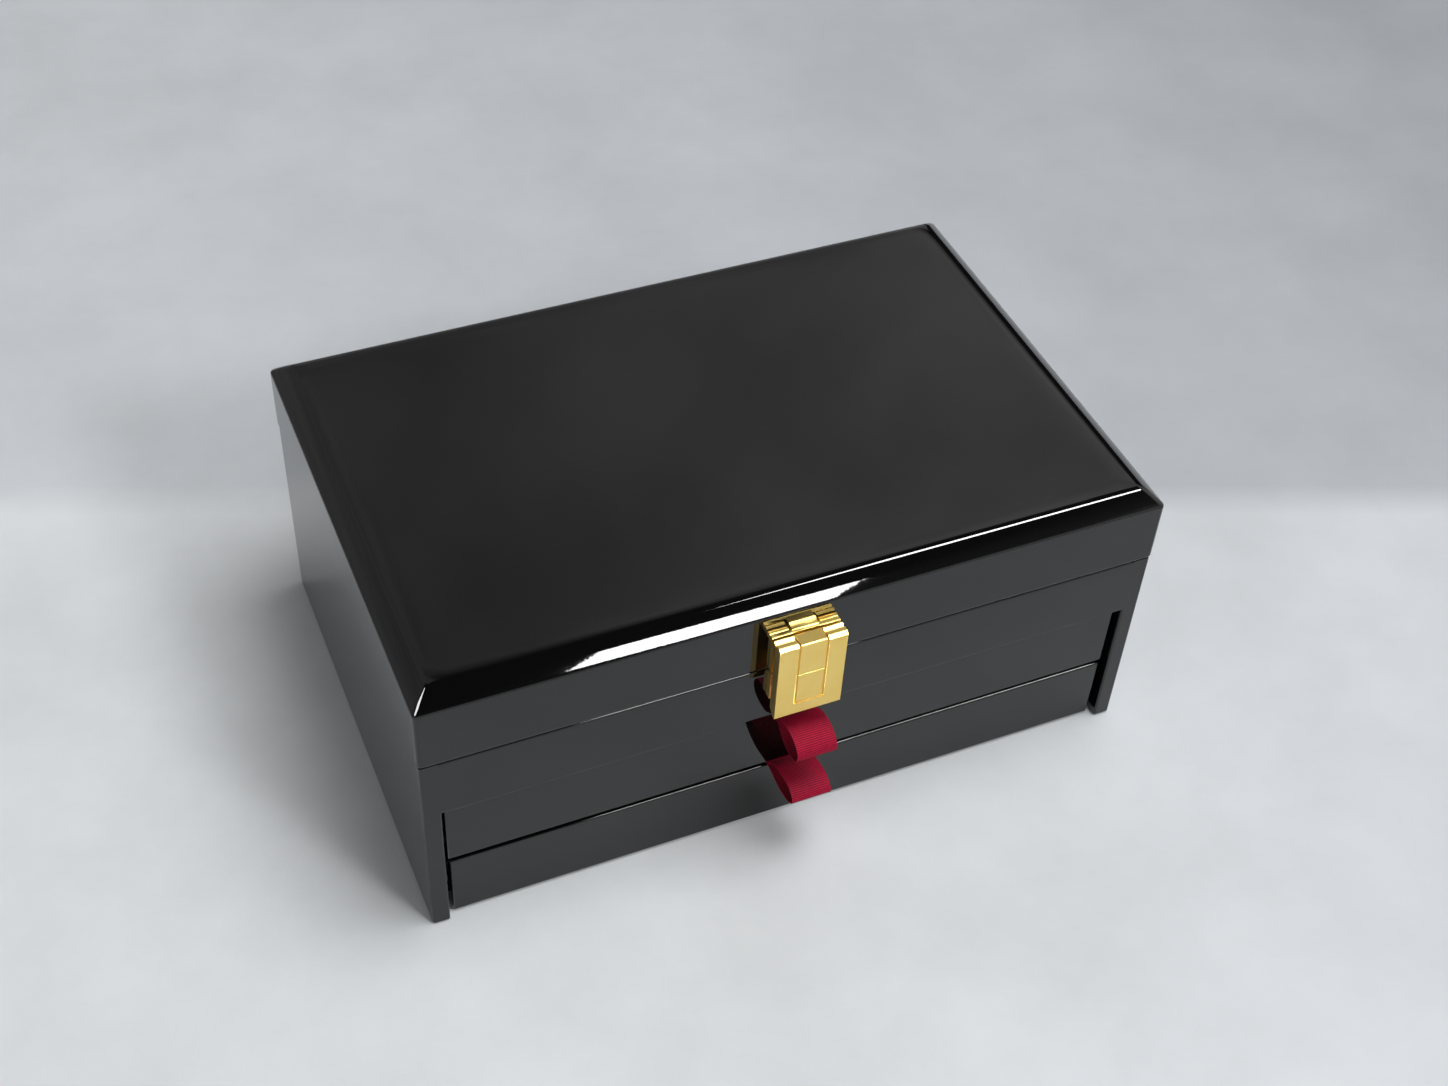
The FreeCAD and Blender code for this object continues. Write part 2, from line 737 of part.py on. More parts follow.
def loop_outline(root_y, root_top, root_bottom, rise, height):
    # The teardrop of the loop in the YZ plane, drawn from the slit over the top, round the nose
    # and back underneath. Each point is a share of the reach and a drop from the loop's top.
    x = ribbon_x - ribbon_width / 2
    reach = root_y - (front_face - ribbon_projection)
    top_z = root_top + rise

    def point(share, drop):
        return V(x, root_y - share * reach, top_z - drop * height)

    root_a = V(x, root_y, root_top)
    root_b = V(x, root_y, root_bottom)
    crown = point(0.45, 0.01)
    shoulder = point(0.84, 0.1)
    nose = point(1.0, 0.48)
    chin = point(0.84, 0.93)
    belly = point(0.34, 0.92)
    edges = [arc(root_a, point(0.2, 0.16), crown), arc(crown, point(0.66, 0.0), shoulder),
             arc(shoulder, point(0.95, 0.25), nose), arc(nose, point(0.96, 0.74), chin),
             arc(chin, point(0.6, 1.0), belly), Part.makeLine(belly, root_b),
             Part.makeLine(root_b, root_a)]
    return Part.Wire(edges)


def ribbon_pull(seat_z, root_y, rise, height, staples):
    slab_top = seat_z + 2 * ribbon_thickness
    outer = loop_outline(root_y, slab_top, seat_z, rise, height)
    inner = outer.makeOffset2D(-ribbon_thickness)
    band = Part.Face([outer, inner]).extrude(V(ribbon_width, 0, 0))
    x0 = ribbon_x - ribbon_width / 2
    x1 = ribbon_x + ribbon_width / 2
    slab = box(x0, x1, root_y, front_back + 2 * ribbon_thickness, seat_z, slab_top)
    tail = box(x0, x1, front_back, front_back + 2 * ribbon_thickness, seat_z - ribbon_tail, seat_z)
    return band.fuse(slab).fuse(tail).removeSplitter().cut(group(staples))


upper_seat = upper_front_top - front_top_gap - 2 * ribbon_thickness
lower_seat = lower_front_top
upper_staples = ribbon_staples(upper_seat)
lower_staples = ribbon_staples(lower_seat)


# Drawers

def drawer_front(bottom, top, side_gap, seat, staples):
    half = bay_x - side_gap
    front = box(-half, half, front_face, front_back, bottom, top)
    front = round_edges(front, front_radius, lambda b: near(b.YMax, front_face))
    notch_half = ribbon_width / 2 + ribbon_notch_gap
    if seat < top:
        front = front.cut(box(ribbon_x - notch_half, ribbon_x + notch_half, front_face - 1,
                              front_back + 1, seat, top + 1))
    return front.cut(group(staples))


def drawer_parts(prefix, bottom, top, front, pull, staples):
    inner = drawer_x - drawer_side_thickness
    back_y = drawer_back_y - drawer_back_thickness
    floor = bottom + drawer_bottom_thickness
    lining_top = top - lining_top_gap
    emit(prefix + "_front", front)
    emit(prefix + "_side_left", box(-drawer_x, -inner, front_back, drawer_back_y, bottom, top))
    emit(prefix + "_side_right", box(inner, drawer_x, front_back, drawer_back_y, bottom, top))
    emit(prefix + "_back", box(-inner, inner, back_y, drawer_back_y, bottom, top))
    emit(prefix + "_bottom", box(-inner, inner, front_back, back_y, bottom, floor))
    lining = box(-inner, inner, front_back + tail_space, back_y, floor, lining_top)
    hollow = box(-inner + drawer_lining_thickness, inner - drawer_lining_thickness,
                 front_back + tail_space + drawer_lining_thickness,
                 back_y - drawer_lining_thickness, floor + drawer_lining_thickness, lining_top + 1)
    emit(prefix + "_lining", lining.cut(hollow))
    emit(prefix + "_ribbon_pull", pull)
    emit(prefix + "_ribbon_staples", group(staples))


drawer_parts("upper_drawer", upper_box_bottom, upper_box_top,
             drawer_front(upper_front_bottom, upper_front_top, upper_side_gap, upper_seat,
                          upper_staples),
             ribbon_pull(upper_seat, -body_y - ribbon_rail_gap, upper_loop_rise, upper_loop_height,
                         upper_staples), upper_staples)
drawer_parts("lower_drawer", lower_box_bottom, lower_box_top,
             drawer_front(lower_front_bottom, lower_front_top, lower_side_gap, lower_seat,
                          lower_staples),
             ribbon_pull(lower_seat, front_face - running_gap, lower_loop_rise, lower_loop_height,
                         lower_staples), lower_staples)

# Dividers of the upper drawer: one long board, and short ones on each side of it between the
# columns
divider_floor = upper_box_bottom + drawer_bottom_thickness + drawer_lining_thickness
divider_top = upper_box_top - lining_top_gap - drawer_divider_drop
divider_half_x = drawer_x - drawer_side_thickness - drawer_lining_thickness
divider_front = front_back + tail_space + drawer_lining_thickness
divider_back = drawer_back_y - drawer_back_thickness - drawer_lining_thickness
divider_mid = (divider_front + divider_back) / 2
half_board = drawer_divider_thickness / 2
emit("upper_drawer_divider_long", box(-divider_half_x, divider_half_x, divider_mid - half_board,
                                      divider_mid + half_board, divider_floor, divider_top))
short_boards = []
for column in range(1, drawer_columns):
    x = -divider_half_x + column * 2 * divider_half_x / drawer_columns
    short_boards.append(box(x - half_board, x + half_board, divider_front, divider_mid - half_board,
                            divider_floor, divider_top))
    short_boards.append(box(x - half_board, x + half_board, divider_mid + half_board, divider_back,
                            divider_floor, divider_top))
emit("upper_drawer_dividers_short", group(short_boards))
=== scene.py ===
import json
import math

import bmesh
import bpy
from mathutils import Matrix, Vector, noise

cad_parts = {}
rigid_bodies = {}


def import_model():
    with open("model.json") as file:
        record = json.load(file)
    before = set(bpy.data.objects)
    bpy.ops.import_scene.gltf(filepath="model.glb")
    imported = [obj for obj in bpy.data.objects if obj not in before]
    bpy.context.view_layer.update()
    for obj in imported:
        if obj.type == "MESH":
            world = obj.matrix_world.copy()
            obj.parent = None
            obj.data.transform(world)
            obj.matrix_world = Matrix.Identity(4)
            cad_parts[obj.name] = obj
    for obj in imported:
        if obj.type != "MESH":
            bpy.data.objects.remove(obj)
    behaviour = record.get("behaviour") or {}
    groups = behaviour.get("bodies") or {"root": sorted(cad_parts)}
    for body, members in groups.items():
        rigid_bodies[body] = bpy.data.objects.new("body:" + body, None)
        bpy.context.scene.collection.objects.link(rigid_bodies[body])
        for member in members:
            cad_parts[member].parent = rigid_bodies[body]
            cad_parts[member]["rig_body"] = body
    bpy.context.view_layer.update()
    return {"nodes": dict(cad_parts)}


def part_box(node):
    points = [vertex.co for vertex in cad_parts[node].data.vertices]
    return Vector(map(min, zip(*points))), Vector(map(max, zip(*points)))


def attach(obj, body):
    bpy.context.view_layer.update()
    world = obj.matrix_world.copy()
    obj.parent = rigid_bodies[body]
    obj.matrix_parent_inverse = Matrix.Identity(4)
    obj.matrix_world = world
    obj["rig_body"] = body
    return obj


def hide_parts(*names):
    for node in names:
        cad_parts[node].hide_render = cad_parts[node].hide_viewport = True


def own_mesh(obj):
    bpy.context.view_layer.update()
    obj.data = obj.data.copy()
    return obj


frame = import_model()
cad = frame["nodes"]
MM = 0.001


def srgb(hex_code):
    # A colour as it is seen, turned to the linear one that a shader takes
    seen = [int(hex_code[i:i + 2], 16) / 255 for i in (1, 3, 5)]
    return (*(c / 12.92 if c <= 0.04045 else ((c + 0.055) / 1.055) ** 2.4 for c in seen), 1.0)


def add(tree, kind, stops=(), **wanted):
    # Adds a node. A capital names a socket, which takes a value or a link (node, output), and
    # a small letter names a setting. The stops are a colour ramp's places and colours.
    made = tree.nodes.new("ShaderNode" + kind)
    for key, value in wanted.items():
        if key[0].islower():
            setattr(made, key, value)
            continue
        names = (key, key.replace("_", " "))
        socket = next(s for s in made.inputs if s.identifier in names)
        if isinstance(value, tuple) and isinstance(value[0], bpy.types.Node):
            tree.links.new(next(s for s in value[0].outputs if s.identifier == value[1]), socket)
        else:
            socket.default_value = value
    for index, (place, colour) in enumerate(stops):
        elements = made.color_ramp.elements
        element = elements[index] if index < 2 else elements.new(place)
        element.position = place
        element.color = srgb(colour)
    return made


def blank(name):
    material = bpy.data.materials.new(name)
    material.use_nodes = True
    material.node_tree.nodes.clear()
    return material, material.node_tree


def surface(tree, **wanted):
    shader = add(tree, "BsdfPrincipled", **wanted)
    add(tree, "OutputMaterial", Surface=(shader, "BSDF"))


# Materials

def polyester_lacquer():
    # Polyester lacquer sprayed on fibreboard, flatted and buffed on a wheel. To the eye it is a
    # black body under a hard clear gloss, with sharp reflections that waver a little.
    material, tree = blank("buffed black polyester lacquer")
    spot = add(tree, "TexCoord")
    # Buffing haze in patches of about 60 mm
    haze = add(tree, "TexNoise", Vector=(spot, "Object"), Scale=16.0, Detail=4.0)
    gloss = add(tree, "MapRange", Value=(haze, "Fac"), To_Min=0.01, To_Max=0.04)
    # Orange peel left by the spray gun, in waves of about 2.5 mm
    peel = add(tree, "TexNoise", Vector=(spot, "Object"), Scale=400.0, Detail=1.5)
    relief = add(tree, "Bump", Height=(peel, "Fac"), Distance=0.000005)
    surface(tree, Base_Color=srgb("#090909"), Roughness=(gloss, "Result"), IOR=1.52,
            Normal=(relief, "Normal"))
    return material


def satin_black_paint():
    # Acrylic paint rolled on thin wood, so the grain stands a little through a soft, low shine
    material, tree = blank("satin black paint on wood")
    spot = add(tree, "TexCoord")
    # Grain lines about 1.5 mm apart, drawn out along the boards
    run = add(tree, "Mapping", Vector=(spot, "Object"), Scale=(45.0, 650.0, 650.0))
    grain = add(tree, "TexNoise", Vector=(run, "Vector"), Scale=1.0, Detail=5.0, Roughness=0.6)
    shine = add(tree, "MapRange", Value=(grain, "Fac"), To_Min=0.36, To_Max=0.56)
    tone = add(tree, "ValToRGB", Fac=(grain, "Fac"), stops=((0.3, "#121213"), (0.7, "#1b1b1d")))
    relief = add(tree, "Bump", Height=(grain, "Fac"), Distance=0.00007)
    surface(tree, Base_Color=(tone, "Color"), Roughness=(shine, "Result"), IOR=1.5,
            Normal=(relief, "Normal"))
    return material


def black_card():
    # Black paper wrapped on card, dull, with the fibres of the paper just showing
    material, tree = blank("black paper wrapped card")
    spot = add(tree, "TexCoord")
    # Paper fibres are 0.02 mm wide, and are drawn at 0.6 mm to show
    fibre = add(tree, "TexNoise", Vector=(spot, "Object"), Scale=1600.0, Detail=4.0, Roughness=0.7)
    tone = add(tree, "ValToRGB", Fac=(fibre, "Fac"), stops=((0.3, "#161617"), (0.7, "#242426")))
    relief = add(tree, "Bump", Height=(fibre, "Fac"), Distance=0.00005)
    surface(tree, Base_Color=(tone, "Color"), Roughness=0.82, IOR=1.5, Normal=(relief, "Normal"))
    return material


def nylon_velvet(name, deep, stroke_sheen, pile):
    # Cut nylon pile on a woven back. It swallows light head on and glows where the pile is seen
    # from the side. In strokes where a hand has brushed it the colour is painted lighter, as
    # painted sheen.
    material, tree = blank(name)
    spot = add(tree, "TexCoord")
    # Painted sheen: lighter brushed strokes about 25 mm wide
    strokes = add(tree, "TexNoise", Vector=(spot, "Object"), Scale=40.0, Detail=4.0, Roughness=0.6)
    tone = add(tree, "ValToRGB", Fac=(strokes, "Fac"), stops=((0.32, deep), (0.7, stroke_sheen)))
    # Tufts are 0.1 mm wide, and are drawn coarser to show
    tufts = add(tree, "TexNoise", Vector=(spot, "Object"), Scale=pile, Detail=3.0, Roughness=0.7)
    relief = add(tree, "Bump", Height=(tufts, "Fac"), Distance=0.0003, Strength=0.8)
    surface(tree, Base_Color=(tone, "Color"), Roughness=0.95, IOR=1.45, Sheen_Weight=0.45,
            Sheen_Roughness=0.35, Sheen_Tint=srgb("#9a9aa6"), Normal=(relief, "Normal"))
    return material


def pale_gold_plate():
    # Zinc alloy, brushed and plated in pale gold. The brushing spreads the reflections into soft
    # bands, and the thin plate is a little redder in some places.
    material, tree = blank("brushed pale gold plate")
    spot = add(tree, "TexCoord")
    # Brush lines are 0.05 mm apart, and are drawn at 0.4 mm to show
    run = add(tree, "Mapping", Vector=(spot, "Object"), Scale=(2500.0, 2500.0, 120.0))
    lines = add(tree, "TexNoise", Vector=(run, "Vector"), Scale=1.0, Detail=3.0, Roughness=0.6)
    gloss = add(tree, "MapRange", Value=(lines, "Fac"), To_Min=0.27, To_Max=0.33)
    # Plating clouds about 17 mm across
    cloud = add(tree, "TexNoise", Vector=(spot, "Object"), Scale=60.0, Detail=2.0)
    tone = add(tree, "ValToRGB", Fac=(cloud, "Fac"), stops=((0.3, "#f5d070"), (0.7, "#fadb82")))
    relief = add(tree, "Bump", Height=(lines, "Fac"), Distance=0.0000005)
    surface(tree, Base_Color=(tone, "Color"), Metallic=1.0, Roughness=(gloss, "Result"),
            Normal=(relief, "Normal"))
    return material


def nickel_plated_steel():
    # Steel wire and pressings, barrel plated in nickel, grey and softly bright with fine dents
    material, tree = blank("barrel plated nickel on steel")
    spot = add(tree, "TexCoord")
    # Dents about 0.7 mm across
    dents = add(tree, "TexNoise", Vector=(spot, "Object"), Scale=1400.0, Detail=2.0)
    gloss = add(tree, "MapRange", Value=(dents, "Fac"), To_Min=0.2, To_Max=0.38)
    relief = add(tree, "Bump", Height=(dents, "Fac"), Distance=0.00001)
    surface(tree, Base_Color=srgb("#c9c7c2"), Metallic=1.0, Roughness=(gloss, "Result"),
            Normal=(relief, "Normal"))
    return material


def silvered_glass():
    # Float glass silvered on its back: a clean reflection, faintly green, with a trace of haze
    material, tree = blank("silvered float glass")
    spot = add(tree, "TexCoord")
    # Cleaning haze in patches of about 80 mm
    haze = add(tree, "TexNoise", Vector=(spot, "Object"), Scale=12.0, Detail=3.0)
    gloss = add(tree, "MapRange", Value=(haze, "Fac"), To_Min=0.004, To_Max=0.02)
    surface(tree, Base_Color=srgb("#e9eeeb"), Metallic=1.0, Roughness=(gloss, "Result"))
    return material


def grosgrain():
    # Polyester ribbon woven over thick weft cords, so it has ribs across it 0.85 mm apart. The
    # ribs are in the mesh, and the colour is painted darker in the valleys between them, as painted
    # shade. The fine threads break up most of the shine, so the IOR is well below that of solid
    # polyester.
    material, tree = blank("wine red polyester grosgrain")
    spot = add(tree, "TexCoord")
    height = add(tree, "Attribute", attribute_name="rib")
    # Painted shade: the rib valleys get the dark end of the ramp and the crests the light end
    tone = add(tree, "ValToRGB", Fac=(height, "Fac"), stops=((0.0, "#640519"), (1.0, "#c2103f")))
    # Warp threads are 0.15 mm apart, and are drawn at 0.3 mm to show
    run = add(tree, "Mapping", Vector=(spot, "Object"), Scale=(3300.0, 300.0, 300.0))
    warp = add(tree, "TexNoise", Vector=(run, "Vector"), Scale=1.0, Detail=2.0)
    fleck = add(tree, "ValToRGB", Fac=(warp, "Fac"), stops=((0.3, "#dedede"), (0.65, "#ffffff")))
    dyed = add(tree, "Mix", data_type="RGBA", blend_type="MULTIPLY", Factor_Float=1.0,
               A_Color=(tone, "Color"), B_Color=(fleck, "Color"))
    relief = add(tree, "Bump", Height=(warp, "Fac"), Distance=0.00002)
    surface(tree, Base_Color=(dyed, "Result_Color"), Roughness=0.75, IOR=1.22, Sheen_Weight=0.02,
            Sheen_Roughness=0.4, Sheen_Tint=srgb("#d04860"), Normal=(relief, "Normal"))
    return material


# The floor's two tones meet on a line that runs 20 degrees off the box's front
BACKWARD = (0.348, 0.937, 0.0)
RIGHTWARD = (0.937, -0.348, 0.0)


def studio_plaster():
    # Skimmed and painted plaster, dull, cloudy in patches of a hand's breadth. Its colour holds
    # painted
    # shade: darker on the part that lies further back, and darker towards the right, where the
    # light falls off
    material, tree = blank("painted plaster")
    spot = add(tree, "TexCoord")
    # Painted shade: the part that lies further back is darker
    depth = add(tree, "VectorMath", operation="DOT_PRODUCT", Vector=(spot, "Object"),
                Vector_001=BACKWARD)
    # The tones change over 20 mm
    turn = add(tree, "MapRange", Value=(depth, "Value"), From_Min=0.082, From_Max=0.102)
    across = add(tree, "VectorMath", operation="DOT_PRODUCT", Vector=(spot, "Object"),
                 Vector_001=RIGHTWARD)
    # Painted shade: darker towards the right, where the light falls off
    share = add(tree, "MapRange", Value=(across, "Value"), From_Min=-0.4, From_Max=0.45)
    back = add(tree, "ValToRGB", Fac=(share, "Result"), stops=((0.0, "#dfe3e7"), (1.0, "#b0b4ba")))
    front = add(tree, "ValToRGB", Fac=(share, "Result"), stops=((0.0, "#eff2f5"), (1.0, "#ccd0d4")))
    floor = add(tree, "Mix", data_type="RGBA", Factor_Float=(turn, "Result"),
                A_Color=(front, "Color"), B_Color=(back, "Color"))
    # Clouds about 110 mm across
    cloud = add(tree, "TexNoise", Vector=(spot, "Object"), Scale=9.0, Detail=6.0, Roughness=0.62)
    wash = add(tree, "ValToRGB", Fac=(cloud, "Fac"), stops=((0.35, "#f3f3f3"), (0.65, "#ffffff")))
    tone = add(tree, "Mix", data_type="RGBA", blend_type="MULTIPLY", Factor_Float=1.0,
               A_Color=(floor, "Result_Color"), B_Color=(wash, "Color"))
    # Trowel marks about 8 mm apart
    trowel = add(tree, "TexNoise", Vector=(spot, "Object"), Scale=120.0, Detail=5.0)
    relief = add(tree, "Bump", Height=(trowel, "Fac"), Distance=0.0003, Strength=0.5)
    surface(tree, Base_Color=(tone, "Result_Color"), Roughness=0.9, IOR=1.45,
            Normal=(relief, "Normal"))
    return material


LACQUER = polyester_lacquer()
PAINT = satin_black_paint()
CARD = black_card()
VELVET = nylon_velvet("black nylon velvet", "#0b0b0d", "#202026", 1500.0)
FELT = nylon_velvet("black pressed felt", "#111112", "#1e1e20", 900.0)
GOLD = pale_gold_plate()
NICKEL = nickel_plated_steel()
MIRROR = silvered_glass()
RIBBON = grosgrain()


# Meshes

TOUCHING = 1e-6
SAME_FACE = math.radians(0.5)


def place(name, bm, material, body, slot, replaced=(), sharp=35, weighted=True):
    # A finished piece on its body, with its outer faces smooth and its flat faces kept flat
    mesh = bpy.data.meshes.new(name)
    bm.to_mesh(mesh)
    bm.free()
    mesh.materials.clear()
    mesh.materials.append(material)
    for face in mesh.polygons:
        face.use_smooth = True
        face.material_index = 0
    mesh.set_sharp_from_angle(angle=math.radians(sharp))
    made = bpy.data.objects.new(name, mesh)
    bpy.context.scene.collection.objects.link(made)
    if weighted:
        even = made.modifiers.new("flat faces", "WEIGHTED_NORMAL")
        even.keep_sharp = True
        even.weight = 100
    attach(made, body)
    if replaced:
        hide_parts(*replaced)
    return made


def joined_solid(bm, others=(), operation="DIFFERENCE"):
    # The first solid with the others cut from it, or added to it, as one closed shell
    holder = bpy.data.objects.new("solid", bpy.data.meshes.new("solid"))
    bm.to_mesh(holder.data)
    bm.free()
    bpy.context.scene.collection.objects.link(holder)
    extra = []
    for other in others:
        tool = bpy.data.objects.new("tool", bpy.data.meshes.new("tool"))
        other.to_mesh(tool.data)
        other.free()
        bpy.context.scene.collection.objects.link(tool)
        extra.append(tool)
        step = holder.modifiers.new("step", "BOOLEAN")
        step.operation = operation
        step.solver = "EXACT"
        step.object = tool
    depsgraph = bpy.context.evaluated_depsgraph_get()
    result = bmesh.new()
    result.from_mesh(bpy.data.meshes.new_from_object(holder.evaluated_get(depsgraph)))
    for spare in [holder] + extra:
        bpy.data.objects.remove(spare)
    flatten(result)
    return result


def flatten(bm):
    # Merges doubled vertices, and the triangles of each flat face
    bmesh.ops.remove_doubles(bm, verts=bm.verts, dist=TOUCHING)
    bmesh.ops.dissolve_limit(bm, angle_limit=SAME_FACE, verts=bm.verts, edges=bm.edges)
    bm.normal_update()


def copy_of(name):
    # A copy of a node's solid, with its triangles merged into whole faces
    bm = bmesh.new()
    bm.from_mesh(cad[name].data)
    flatten(bm)
    return bm


def block(low, high):
    bm = bmesh.new()
    size = Vector(high) - Vector(low)
    middle = (Vector(low) + Vector(high)) / 2
    bmesh.ops.create_cube(bm, size=1,
                          matrix=Matrix.Translation(middle) @ Matrix.Diagonal((*size, 1)))
    return bm


def round_off(bm, edges, radius, segments=3):
    bmesh.ops.bevel(bm, geom=edges, offset=radius, offset_type="OFFSET", segments=segments,
                    profile=0.5, affect="EDGES", clamp_overlap=True, material=-1)


def soften(bm, radius, segments=3, turn=40):
    # Rounds each outer edge that turns by more than an angle
    round_off(bm, [e for e in bm.edges if len(e.link_faces) == 2 and
                   e.calc_face_angle_signed(0) > math.radians(turn)], radius, segments)


def dress(name, material, slot, radius, segments=3, turn=40):
    bm = copy_of(name)
    soften(bm, radius * MM, segments, turn)
    return place(name + "_finish", bm, material, cad[name]["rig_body"], slot, [name])


# Lid: a lacquered shell with a bevel round its top, hollowed from below. Sizes in millimetres.

LID_X = 150.0
LID_Y = 98.0
BEVEL_INSET = 7.3
BEVEL_DROP = 6.4
LID_TOP = 128.0
LID_FOOT = 93.7
BEVEL_FOOT = LID_TOP - BEVEL_DROP
CORNER_RADIUS = 2.0
TOP_ARRIS = 0.9
BEVEL_FOOT_ARRIS = 0.5
RIM_ARRIS = 1.5
UNDER_LID = 90.0
LINING_PLAY = 0.2
LEAF_BED = 1.15
LEAF_BED_OPEN = 5.0


def edges_at(bm, height):
    return [e for e in bm.edges if all(abs(v.co.z - height * MM) < TOUCHING for v in e.verts)]


def lid_shell():
    bm = block((-LID_X * MM, -LID_Y * MM, LID_FOOT * MM), (LID_X * MM, LID_Y * MM, BEVEL_FOOT * MM))
    upright = [e for e in bm.edges if abs(e.verts[0].co.z - e.verts[1].co.z) > MM]
    round_off(bm, upright, CORNER_RADIUS * MM, 8)
    roof = [f for f in bm.faces if f.normal.z > 0.9]
    grown = bmesh.ops.extrude_face_region(bm, geom=roof)
    bmesh.ops.delete(bm, geom=roof, context="FACES")
    raised = [v for v in grown["geom"] if isinstance(v, bmesh.types.BMVert)]
    bmesh.ops.scale(bm, verts=raised, vec=(1 - BEVEL_INSET / LID_X, 1 - BEVEL_INSET / LID_Y, 1))
    bmesh.ops.translate(bm, verts=raised, vec=(0, 0, BEVEL_DROP * MM))
    round_off(bm, edges_at(bm, LID_TOP), TOP_ARRIS * MM, 6)
    round_off(bm, edges_at(bm, BEVEL_FOOT), BEVEL_FOOT_ARRIS * MM, 5)
    round_off(bm, edges_at(bm, LID_FOOT), RIM_ARRIS * MM, 6)
    panel_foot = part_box("lid_top_panel")[0].z
    hollow_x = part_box("lid_mirror_frame")[1].x + LINING_PLAY * MM
    hollow_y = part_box("lid_mirror_frame")[1].y + LINING_PLAY * MM
    cuts = [block((-hollow_x, -hollow_y, UNDER_LID * MM), (hollow_x, hollow_y, panel_foot))]
    for hinge in ("hinge_leaf_lid_left", "hinge_leaf_lid_right"):
        low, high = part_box(hinge)
        # A bed for the leaf, open at the back
        cuts.append(block((low.x, low.y, UNDER_LID * MM),
                          (high.x, LID_Y * MM + LEAF_BED_OPEN * MM,
                           LID_FOOT * MM + LEAF_BED * MM)))
    bm = joined_solid(bm, cuts)
    buff(bm)
    boards = ["lid_top_panel"] + ["lid_rail_" + side for side in ("front", "back", "left", "right")]
    place("lid_shell", bm, LACQUER, "lid", "black_lacquer", boards, 50)


def cut_all(bm, faces, point, normal):
    # Cuts the faces along a plane, and keeps both sides
    near = {e for f in faces for e in f.edges} | {v for f in faces for v in f.verts}
    bmesh.ops.bisect_plane(bm, geom=faces + list(near), dist=1e-7, plane_co=point, plane_no=normal)


# Where the top is cut, measured in from its arris, so that the wear can bend it
CUTS_FROM_ARRIS = (0.8, 1.6, 2.5, 3.6, 5.0, 6.8, 9.0, 12.0, 16.0, 24.0)
BEVEL_STRIPS = 10
WEAR_SLOPE = 0.22
WEAR_REACH = 2.07
CORNER_REACH = 4.0
CROWN = 0.25


def buff(bm):
    # The buffing wheel takes a little more near the edges of the top, most at the corners, and
    # leaves the bevel a fraction of a millimetre proud along its middle
    half_x = LID_X - BEVEL_INSET
    half_y = LID_Y - BEVEL_INSET
    for inset in CUTS_FROM_ARRIS:
        for axis, half in ((Vector((1, 0, 0)), half_x), (Vector((0, 1, 0)), half_y)):
            for sign in (-1, 1):
                flat = [f for f in bm.faces if f.normal.z > 0.999 and
                        f.calc_center_median().z > (LID_TOP - 0.05) * MM]
                cut_all(bm, flat, axis * (sign * (half - inset) * MM), axis)
    for step in range(1, BEVEL_STRIPS):
        slope = [f for f in bm.faces if 0.6 < f.normal.z < 0.9 and
                 f.calc_center_median().z > (BEVEL_FOOT + 0.3) * MM]
        height = BEVEL_FOOT + BEVEL_DROP * step / BEVEL_STRIPS
        cut_all(bm, slope, (0, 0, height * MM), (0, 0, 1))
    bm.normal_update()
    for vert in bm.verts:
        share = (vert.co.z / MM - BEVEL_FOOT) / BEVEL_DROP
        if share < 0.02:
            continue
        side_x = half_x - abs(vert.co.x) / MM
        side_y = half_y - abs(vert.co.y) / MM
        # The smaller of the two, rounded off where they meet
        inside = -CORNER_REACH * math.log(math.exp(-side_x / CORNER_REACH) +
                                          math.exp(-side_y / CORNER_REACH))
        worn = WEAR_SLOPE * WEAR_REACH * math.log1p(math.exp(-max(inside, 0.0) / WEAR_REACH))
        proud = CROWN * max(0.0, 1 - (2 * share - 1) ** 2)
        vert.co += vert.normal * (proud * MM) - Vector((0, 0, worn * min(1, share) * MM))
    bm.normal_update()


# Carcass: four boards lacquered over as one

CARCASS_ARRIS = 0.45


def carcass_shell():
    boards = ["side_panel_left", "side_panel_right", "back_panel", "top_rail"]
    bm = joined_solid(copy_of(boards[0]), [copy_of(n) for n in boards[1:]], "UNION")
    soften(bm, CARCASS_ARRIS * MM)
    place("carcass_shell", bm, LACQUER, "carcass", "black_lacquer", boards)


# Clasp: the tongue comes down over the plate, and a pad of its width stands below it. On the
# lid a wedge of the same width rises behind a ledge. Sizes in millimetres.

WEDGE_DEPTH = 3.1
WEDGE_ROOT = 0.6
WEDGE_FRONT = 0.35
WEDGE_RISE = 0.58
TONGUE_BEVEL = 0.45
PAD_SILL = 5.7
PAD_GAP = 0.15
PAD_PLAY = 0.03
PAD_SUNK = 0.08
PAD_THICK = 1.0
PAD_ARRIS = 0.28
LID_PLATE_ARRIS = 0.14
TONGUE_ARRIS = 0.12
FACE_PLATE_ARRIS = 0.15


def clasp_wedge():
    low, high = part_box("clasp_lid_plate")
    tongue_low, tongue_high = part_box("clasp_tongue")
    top = tongue_high.z
    left, right = tongue_low.x, tongue_high.x
    # The solid's plain block goes, and the wedge stands in its place
    old_block = block((left - 0.1 * MM, low.y - 1 * MM, top),
                      (right + 0.1 * MM, high.y + 1 * MM, top + 5 * MM))
    plate = joined_solid(copy_of("clasp_lid_plate"), [old_block])
    wedge = block((left, -(LID_Y + WEDGE_DEPTH) * MM, top - WEDGE_ROOT * MM),
                  (right, -LID_Y * MM, top + WEDGE_FRONT * MM))
    for vert in wedge.verts:
        if vert.co.z > top and vert.co.y > -(LID_Y + 1) * MM:
            vert.co.z += WEDGE_RISE * MM
    plate = joined_solid(plate, [wedge], "UNION")
    soften(plate, LID_PLATE_ARRIS * MM)
    place("clasp_lid_plate_finish", plate, GOLD, "lid", "gold_metal", ["clasp_lid_plate"])


